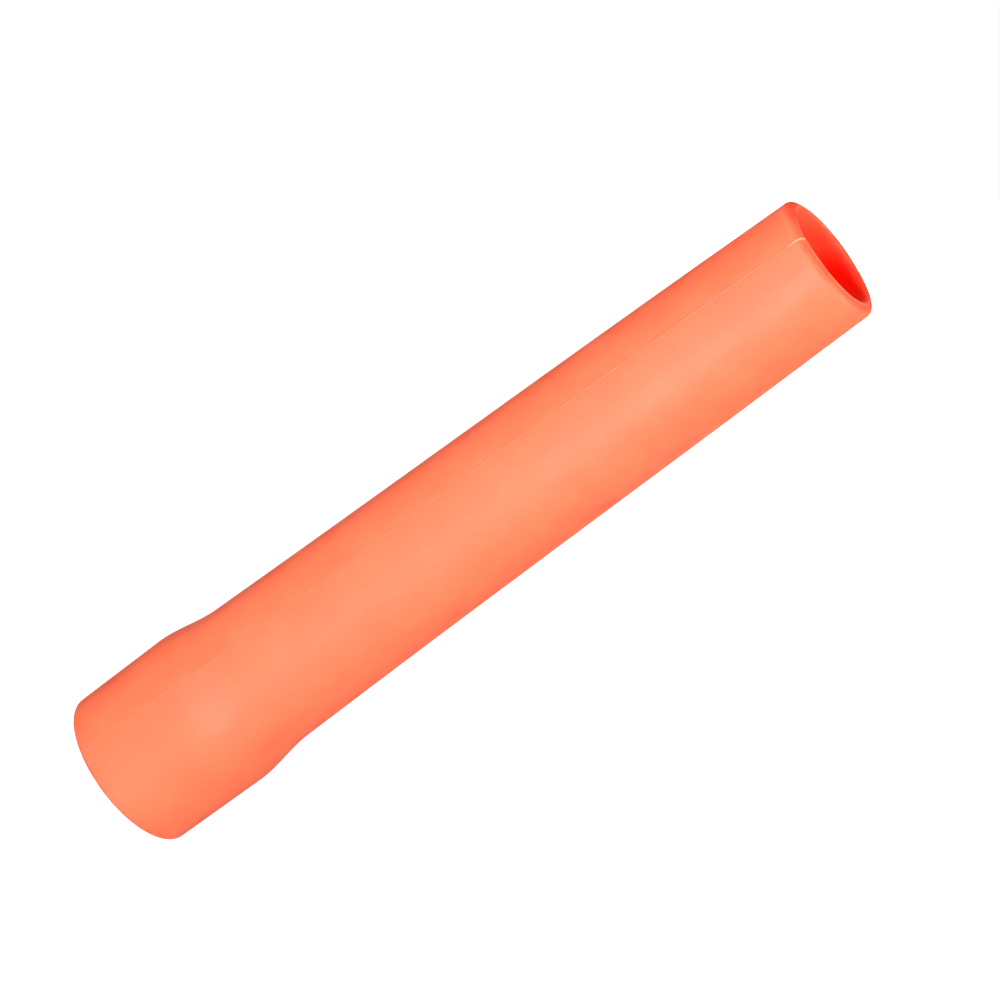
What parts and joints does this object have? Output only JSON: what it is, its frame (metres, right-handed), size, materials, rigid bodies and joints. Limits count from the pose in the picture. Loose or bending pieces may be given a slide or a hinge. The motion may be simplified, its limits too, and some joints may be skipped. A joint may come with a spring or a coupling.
{
  "type": "traffic wand sleeve",
  "caption": "Hollow slip-on signal wand sleeve in one orange moulding: a flared socket grips a torch head, and a long tapered diffuser tube ends in an open rounded mouth.",
  "frame": {"origin": "centre of the flared rim, on the plane that the rim stands on", "axes": "+Z along the sleeve's axis from the flared rim to the open tip; +X and +Y across it, with the two mould flash lines in the plane of the axis and about 30 degrees from -Y towards -X"},
  "size_m": [0.046, 0.046, 0.24],
  "materials": {
    "sleeve_elastomer": "satin, slightly translucent fluorescent orange elastomer"
  },
  "bodies": {
    "root": {"wand_sleeve": "sleeve_elastomer"}
  },
  "joints": []
}
